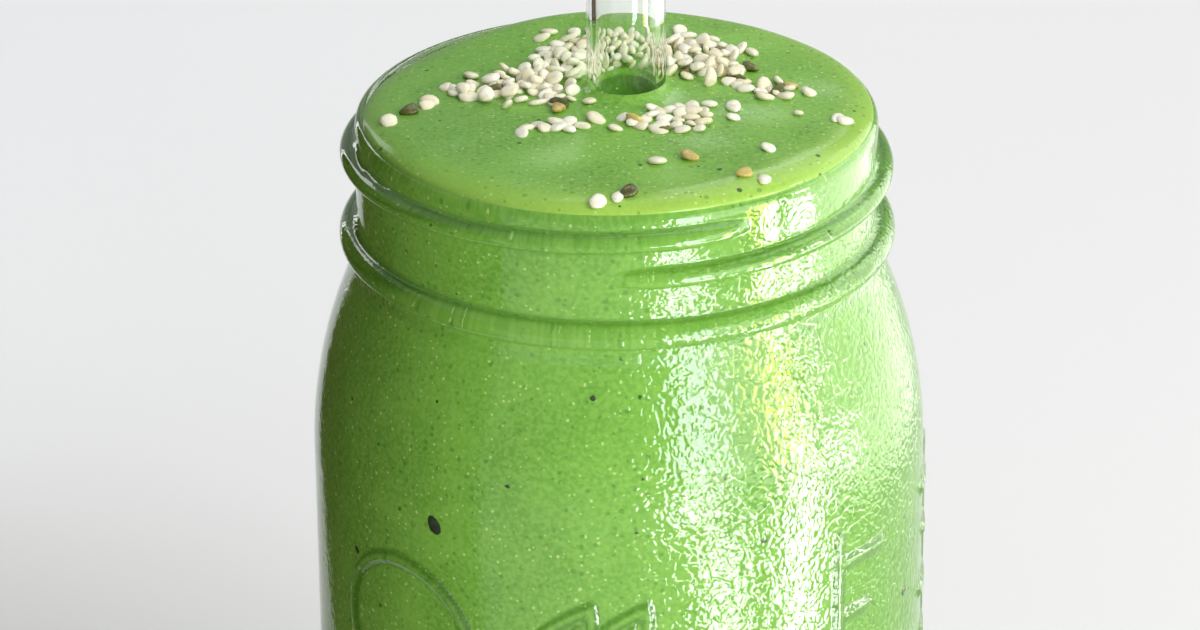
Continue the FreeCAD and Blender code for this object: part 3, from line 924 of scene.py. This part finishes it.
def drink_material(speckle):
    """Blended greens: mottled, flecked dark and pale, with painted light, brighter and yellower, at the rim,
    painted shade in the straw's bowl and on the top's left, and shaded under the jar's ridges."""
    material, nodes = new_material("smoothie_green")
    mottle = nodes.span(nodes.noise(60.0, 4.0, 0.6), 0.32, 0.68)
    grain = nodes.span(nodes.noise(1400.0, 2.0), 0.35, 0.65)
    body = nodes.mix(mottle, srgb(110, 166, 62), srgb(128, 184, 74))
    body = nodes.stain(body, grain, 0.5, srgb(152, 200, 92))
    # Painted light: a brighter, yellower green near the rim, strongest on the lit right side.
    body = nodes.stain(body, nodes.attribute("painted_rim_light"), 0.6, srgb(178, 214, 92))
    # Painted shade: the bowl inside the straw is coloured dark, where the straw's walls keep light from it.
    body = nodes.stain(body, nodes.attribute("bowl"), 0.7, srgb(40, 98, 12))
    specks = [(1000.0, 0.4, 0.24, 0.45, srgb(72, 122, 44)),
              (330.0, 0.15, 0.2, 0.85, srgb(34, 66, 26)),
              (1150.0, 0.26, 0.4, 0.75, srgb(205, 228, 150))]
    for scale, size, share, strength, colour in specks:
        values = {"Scale": scale, "Size": size, "Share": share}
        dots = nodes.add("ShaderNodeGroup", node_tree=speckle, values=values)
        body = nodes.stain(body, dots.outputs[0], strength, colour)
    split = nodes.add("ShaderNodeSeparateXYZ", links={0: nodes.place()})
    # Painted shade: the open top is coloured duller and darker towards the left.
    to_left = nodes.span(split.outputs["X"], -38 * MM, 4 * MM, 0.6, 0.0)
    painted_left_shade = nodes.math("MULTIPLY", to_left, nodes.attribute("open_top"))
    body = nodes.mix(painted_left_shade, body, srgb(84, 134, 56))
    body = nodes.stain(body, nodes.attribute("shade"), 0.5, srgb(62, 112, 30))
    bump_node = nodes.add("ShaderNodeBump", values={"Strength": 0.6, "Distance": 0.25 * MM},
                          links={"Height": nodes.noise(160.0, 3.0, 1.0)})
    values = {"Roughness": 0.55, "Specular IOR Level": 0.0, "Coat Roughness": 0.16, "Coat IOR": 1.36}
    shader = nodes.add("ShaderNodeBsdfPrincipled", values=values,
                       links={"Base Color": body, "Coat Weight": nodes.attribute("open_top"),
                              "Normal": bump_node.outputs["Normal"]})
    finish_material(nodes, shader.outputs[0])
    return material


def pip_material(name, pale, deep, blotch, roughness, blotch_scale, glow):
    """A seed's or hull's skin: its own tone between pale and deep, with blotches and a fine wrinkle."""
    material, nodes = new_material(name)
    colour = nodes.mix(nodes.attribute("tone"), pale, deep)
    patches = nodes.span(nodes.noise(blotch_scale, 3.0, 0.4), 0.5, 0.72)
    colour = nodes.stain(colour, patches, 0.55, blotch)
    wrinkle = nodes.add("ShaderNodeBump", values={"Strength": 0.5, "Distance": 0.12 * MM},
                        links={"Height": nodes.noise(1500.0, 2.0)})
    values = {"Roughness": roughness, "Subsurface Weight": glow, "Subsurface Scale": 0.8 * MM,
              "Subsurface Radius": (1.0, 0.8, 0.5)}
    shader = nodes.add("ShaderNodeBsdfPrincipled", values=values,
                       links={"Base Color": colour, "Normal": wrinkle.outputs["Normal"]})
    finish_material(nodes, shader.outputs[0])
    return material


def floor_material():
    """Pale matt paint, a trace lighter on the left: painted light against the dark card's shade there."""
    material, nodes = new_material("pale_floor")
    tint = nodes.span(nodes.noise(3.0, 2.0), 0.3, 0.7)
    split = nodes.add("ShaderNodeSeparateXYZ", links={0: nodes.place()})
    # Painted light: the floor is coloured lighter towards the left.
    side = nodes.span(split.outputs["X"], -0.5, 0.4)
    left = nodes.mix(tint, srgb(254, 254, 254), srgb(255, 255, 255))
    right = nodes.mix(tint, srgb(243, 242, 242), srgb(245, 243, 243))
    colour = nodes.mix(side, left, right)
    shader = nodes.add("ShaderNodeBsdfPrincipled", values={"Roughness": 0.8, "Specular IOR Level": 0.2},
                       links={"Base Color": colour})
    finish_material(nodes, shader.outputs[0])
    return material


def card_material():
    """Dark brown matt card."""
    material, nodes = new_material("dark_card")
    colour = nodes.mix(nodes.noise(12.0, 2.0), srgb(66, 56, 34), srgb(84, 66, 40))
    shader = nodes.add("ShaderNodeBsdfPrincipled", values={"Roughness": 0.9, "Specular IOR Level": 0.1},
                       links={"Base Color": colour})
    finish_material(nodes, shader.outputs[0])
    return material


# ==== Stage =========================================================================================
CAMERA_PITCH = math.radians(25.166)
CAMERA_ROLL = math.radians(-0.518)
CAMERA_PLACE = Vector((-2.82 * MM, -785.67 * MM, HEIGHT + 334.04 * MM))
CAMERA_LENS = 165.0
NEAR_PANEL = 0.5               # a panel for shine that stands nearer than this faces level

# Ends of the dark card's foot, and its height.
CARD_NEAR_END = (-0.125, -0.12)
CARD_FAR_END = (-0.155, 0.2)
CARD_HEIGHT = 0.25

WHITE = (1.0, 1.0, 1.0)
# Name, azimuth in degrees, then distance, height, width and tallness in metres, power in watts, colour, and
# what it falls on.
PANELS = [
    ("key", 50, 1.8, 1.35, 1.35, 1.35, 28.0, (1.0, 0.99, 0.95), "matt"),
    ("overhead", 150, 1.0, 1.4, 1.4, 1.0, 8.5, WHITE, "all"),
    ("front_fill", 22, 0.9, 0.25, 0.5, 0.5, 2.6, (1.0, 0.99, 0.93), "matt"),
    ("band_shine_high", 75, 0.17, 0.18, 0.02, 0.05, 0.07, WHITE, "shine"),
    ("band_shine", 62, 0.17, 0.09, 0.02, 0.13, 0.2, WHITE, "shine"),
    ("band_shine_low", 61, 0.17, 0.045, 0.04, 0.07, 0.16, WHITE, "shine"),
    ("lip_shine", 78, 0.17, 0.1, 0.045, 0.02, 0.05, WHITE, "shine"),
    ("warm_shine", 57, 0.17, 0.15, 0.034, 0.08, 0.1, (1.0, 0.84, 0.2), "shine"),
    ("window_high", 22, 0.17, 0.1, 0.05, 0.022, 0.08, (0.96, 0.98, 1.0), "shine"),
    ("window_middle", 26, 0.17, 0.16, 0.04, 0.085, 0.16, (0.82, 0.92, 1.0), "shine"),
    ("window_low", 34, 0.17, 0.042, 0.044, 0.062, 0.17, (0.97, 0.99, 1.0), "shine"),
    ("wide_haze", 50, 0.6, 0.25, 0.42, 0.6, 2.9, (0.98, 1.0, 0.94), "shine"),
    ("side_haze", 108, 0.3, 0.2, 0.4, 0.4, 1.6, (0.98, 1.0, 0.9), "shine"),
    ("edge_shine", -142, 0.5, 0.2, 0.12, 0.5, 0.6, WHITE, "shine"),
    ("back_sheen", 172, 1.2, 0.88, 0.35, 0.2, 0.6, WHITE, "shine"),
]


def make_camera():
    """A long lens a little above the rim, looking down on the drink with a trace of roll."""
    ahead = Vector((0, math.cos(CAMERA_PITCH), -math.sin(CAMERA_PITCH)))
    up = Vector((0, math.sin(CAMERA_PITCH), math.cos(CAMERA_PITCH)))
    side = Vector((1, 0, 0))
    rolled_side = math.cos(CAMERA_ROLL) * side + math.sin(CAMERA_ROLL) * up
    rolled_up = math.cos(CAMERA_ROLL) * up - math.sin(CAMERA_ROLL) * side
    data = bpy.data.cameras.new("camera")
    data.lens = CAMERA_LENS
    data.sensor_width = 36.0
    data.clip_start = 0.01
    data.clip_end = 20.0
    camera = bpy.data.objects.new("camera", data)
    turn = Matrix((rolled_side, rolled_up, -ahead)).transposed().to_4x4()
    camera.matrix_world = Matrix.Translation(CAMERA_PLACE) @ turn
    bpy.context.scene.collection.objects.link(camera)
    bpy.context.scene.camera = camera


def make_panel(name, azimuth, distance, height, width, tall, power, colour, falls_on):
    """A soft rectangular light that faces the jar and falls on "all", or on "matt" or "shine" alone."""
    data = bpy.data.lights.new(name, "AREA")
    data.shape = "RECTANGLE"
    data.size = width
    data.size_y = tall
    data.energy = power
    data.color = colour
    panel = bpy.data.objects.new(name, data)
    turn = math.radians(azimuth)
    place = Vector((distance * math.sin(turn), -distance * math.cos(turn), height))
    level = falls_on == "shine" and distance < NEAR_PANEL
    aim = Vector((0, 0, height if level else HEIGHT / 2))
    facing = (place - aim).to_track_quat("Z", "Y").to_matrix().to_4x4()
    panel.matrix_world = Matrix.Translation(place) @ facing
    panel.visible_camera = False
    panel.visible_transmission = False
    panel.visible_diffuse = falls_on != "shine"
    panel.visible_glossy = falls_on != "matt"
    bpy.context.scene.collection.objects.link(panel)


def make_floor():
    """A plain pale floor."""
    half = 3.0
    corners = np.array([[-half, -half, 0], [half, -half, 0], [half, half, 0], [-half, half, 0]])
    floor = mesh_piece("floor", corners, np.array([[0, 1, 2, 3]]), np.zeros((0, 3), int))
    floor.data.materials.append(floor_material())


def make_card():
    """A dark card close by on the left, out of the camera's sight, which deepens that side of the glass.
    Lights cast no shadow of it."""
    corners = np.array([[*CARD_NEAR_END, 0], [*CARD_FAR_END, 0],
                        [*CARD_FAR_END, CARD_HEIGHT], [*CARD_NEAR_END, CARD_HEIGHT]])
    card = mesh_piece("dark_card", corners, np.array([[0, 1, 2, 3]]), np.zeros((0, 3), int))
    card.data.materials.append(card_material())
    card.visible_camera = False
    card.visible_shadow = False


def make_world():
    """Soft, slightly blue light from all round."""
    world = bpy.data.worlds.new("soft_room")
    world.use_nodes = True
    background = world.node_tree.nodes["Background"]
    background.inputs["Color"].default_value = (0.93, 0.96, 1.0, 1.0)
    background.inputs["Strength"].default_value = 0.42
    bpy.context.scene.world = world


# ==== The part ======================================================================================
def finish_piece(piece, material, slot, *replaced):
    """Gives a piece its material and its body, and hides the nodes that it takes the place of; the slot is
    not used.
    """
    piece.data.materials.append(material)
    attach(piece, "root")
    if replaced:
        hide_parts(*replaced)


def make_vessel():
    """The jar, the straw and the drink."""
    skin = pressed_glass_group()
    jar_skin = {"Ripple Scale": 980.0, "Wave Scale": 110.0, "Wave Share": 0.7}
    straw_skin = {"Ripple Scale": 120.0, "Wave Scale": 40.0, "Wave Share": 1.0}
    jar_glass = glass_material("jar_glass", skin, jar_skin, 0.175 * MM, 0.015)
    straw_glass = glass_material("straw_glass", skin, straw_skin, 0.004 * MM, 0.0)
    finish_piece(make_jar(), jar_glass, "jar_glass", "jar")
    finish_piece(make_straw(), straw_glass, "straw_glass", "straw")
    finish_piece(make_drink(), drink_material(speckle_group()), "smoothie", "smoothie")


def make_toppings():
    """Seeds, hulls and husks on the drink, and flakes of leaf in it."""
    piled = scattered(PILES, [], 0.4)
    spilt = flat(LONE_SEEDS) + scattered(SPILLS, piled, 0.0)
    piled_hearts = make_pips("hemp_hearts_piled", piled, (2.6, 2.2, 1.2), taper=0.14, dent=0.18, uneven=0.09,
                             sink=0.2, tilt=0.5, layer_height=0.85 * MM)
    spilt_hearts = make_pips("hemp_hearts_spilt", spilt, (2.85, 2.4, 1.15), taper=0.12, dent=0.18, uneven=0.1,
                             sink=0.3, tilt=0.24)
    hulls = make_pips("olive_hulls", flat(HULL_PLACES), (3.1, 1.9, 1.2), taper=0.3, dent=0.4, uneven=0.14,
                      sink=0.15, tilt=0.35)
    flecks = make_flecks()
    amber = make_pips("amber_bits", flat(AMBER_PLACES), (2.9, 1.9, 1.3), taper=0.3, dent=0.4, uneven=0.14,
                      sink=0.15, tilt=0.3)
    cream = pip_material("seed_cream", srgb(253, 249, 232), srgb(238, 230, 198), srgb(212, 200, 148),
                         0.42, 500.0, 0.15)
    olive = pip_material("hull_olive", srgb(98, 108, 34), srgb(62, 70, 24), srgb(176, 138, 62),
                         0.4, 1100.0, 0.0)
    leaf = pip_material("leaf_dark", srgb(38, 62, 34), srgb(26, 46, 26), srgb(52, 84, 40), 0.6, 900.0, 0.0)
    husk = pip_material("husk_amber", srgb(208, 190, 108), srgb(172, 146, 58), srgb(232, 220, 176),
                        0.4, 1000.0, 0.1)
    finish_piece(piled_hearts, cream, "smoothie")
    finish_piece(spilt_hearts, cream, "smoothie")
    finish_piece(hulls, olive, "smoothie")
    finish_piece(flecks, leaf, "smoothie")
    finish_piece(amber, husk, "smoothie")


make_camera()
make_floor()
make_world()
for panel_values in PANELS:
    make_panel(*panel_values)
make_card()
make_vessel()
make_toppings()
bpy.context.scene.view_settings.view_transform = "Standard"
